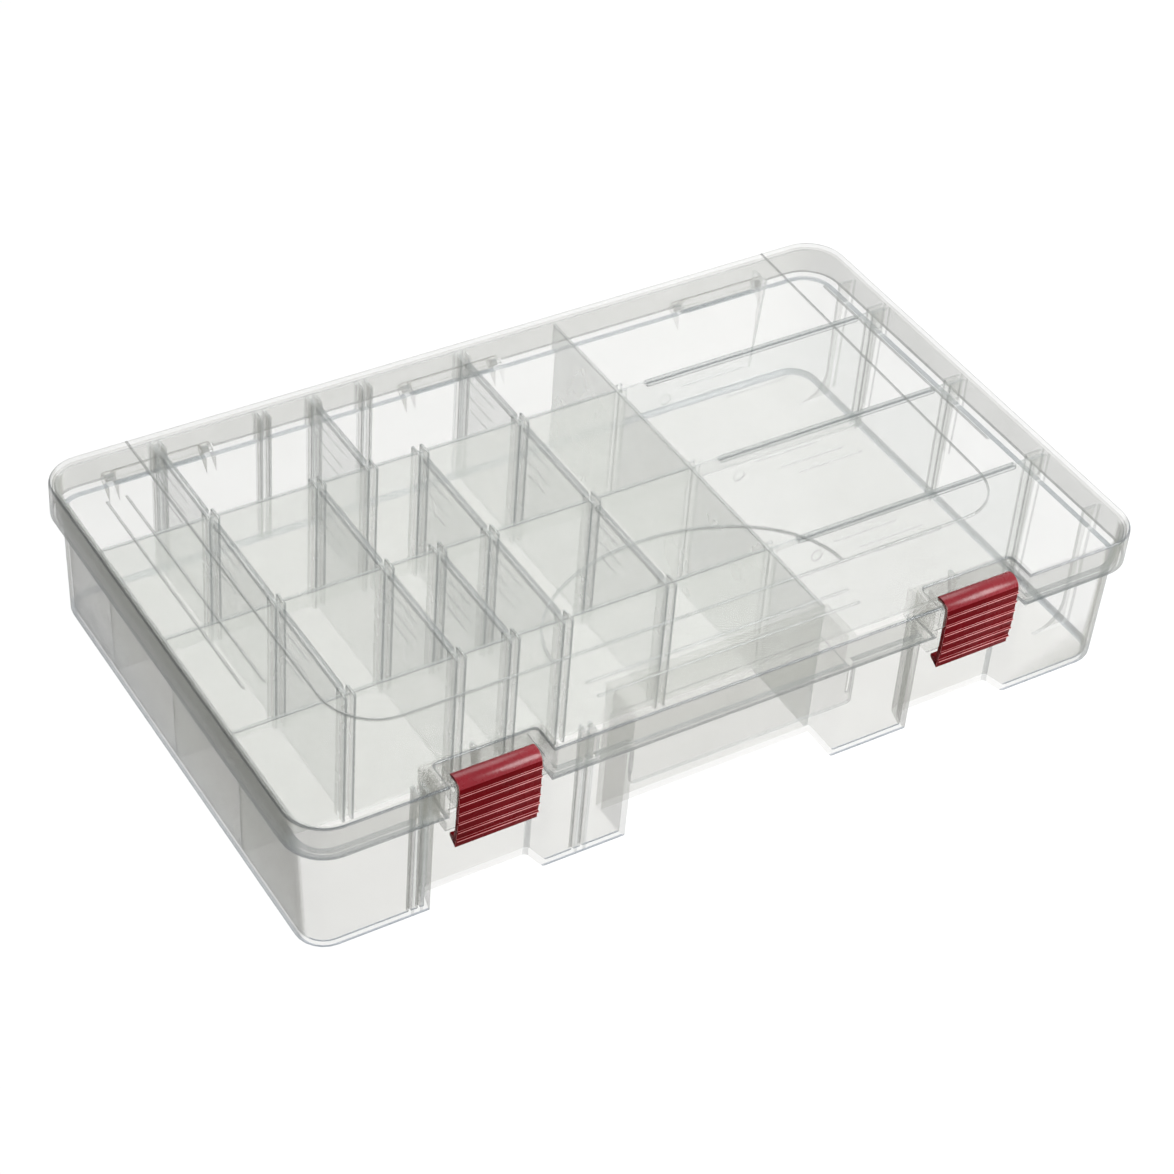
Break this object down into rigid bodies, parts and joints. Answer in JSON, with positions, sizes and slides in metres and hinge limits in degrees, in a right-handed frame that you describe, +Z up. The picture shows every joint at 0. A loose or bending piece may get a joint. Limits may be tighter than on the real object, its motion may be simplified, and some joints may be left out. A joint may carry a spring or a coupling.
{
  "type": "compartment tackle box",
  "caption": "Flat clear plastic tackle box with a hinged lid, two ribbed red front latches, fixed inner walls and lift-out dividers.",
  "frame": {"origin": "under the middle of the whole box, on the plane it stands on", "axes": "+X along the long side, to the right seen from the latches; +Y from the latches to the hinges; +Z up"},
  "size_m": [0.356, 0.224, 0.064],
  "materials": {
    "tray_clear": "clear, smooth moulded",
    "lid_clear": "clear, smooth moulded",
    "divider_clear": "clear with a faint haze",
    "latch_red": "glossy burgundy red"
  },
  "bodies": {
    "tray": {"base_tray": "tray_clear", "row_wall_1": "tray_clear", "row_wall_2": "tray_clear", "row_wall_3": "tray_clear", "main_wall": "tray_clear", "divider_row1_1": "divider_clear", "divider_row1_2": "divider_clear", "divider_row1_3": "divider_clear", "divider_row2_1": "divider_clear", "divider_row2_2": "divider_clear", "divider_row2_3": "divider_clear", "divider_row2_4": "divider_clear", "divider_row3_1": "divider_clear", "divider_row3_2": "divider_clear", "divider_row3_3": "divider_clear", "divider_row3_4": "divider_clear", "divider_row3_5": "divider_clear", "long_divider_1": "divider_clear", "long_divider_2": "divider_clear", "long_divider_3": "divider_clear"},
    "lid": {"lid": "lid_clear"},
    "latch_left": {"latch_left": "latch_red"},
    "latch_right": {"latch_right": "latch_red"}
  },
  "joints": [
    {"name": "lid_hinge", "type": "hinge", "parent": "tray", "child": "lid", "pos_m": [0, 0.10905, 0.0472], "axis": [-1, 0, 0], "range_deg": [0, 180]},
    {"name": "latch_left_hinge", "type": "hinge", "parent": "lid", "child": "latch_left", "pos_m": [-0.102, -0.10695, 0.0576], "axis": [-1, 0, 0], "range_deg": [0, 110]},
    {"name": "latch_right_hinge", "type": "hinge", "parent": "lid", "child": "latch_right", "pos_m": [0.102, -0.10695, 0.0576], "axis": [-1, 0, 0], "range_deg": [0, 110]}
  ]
}
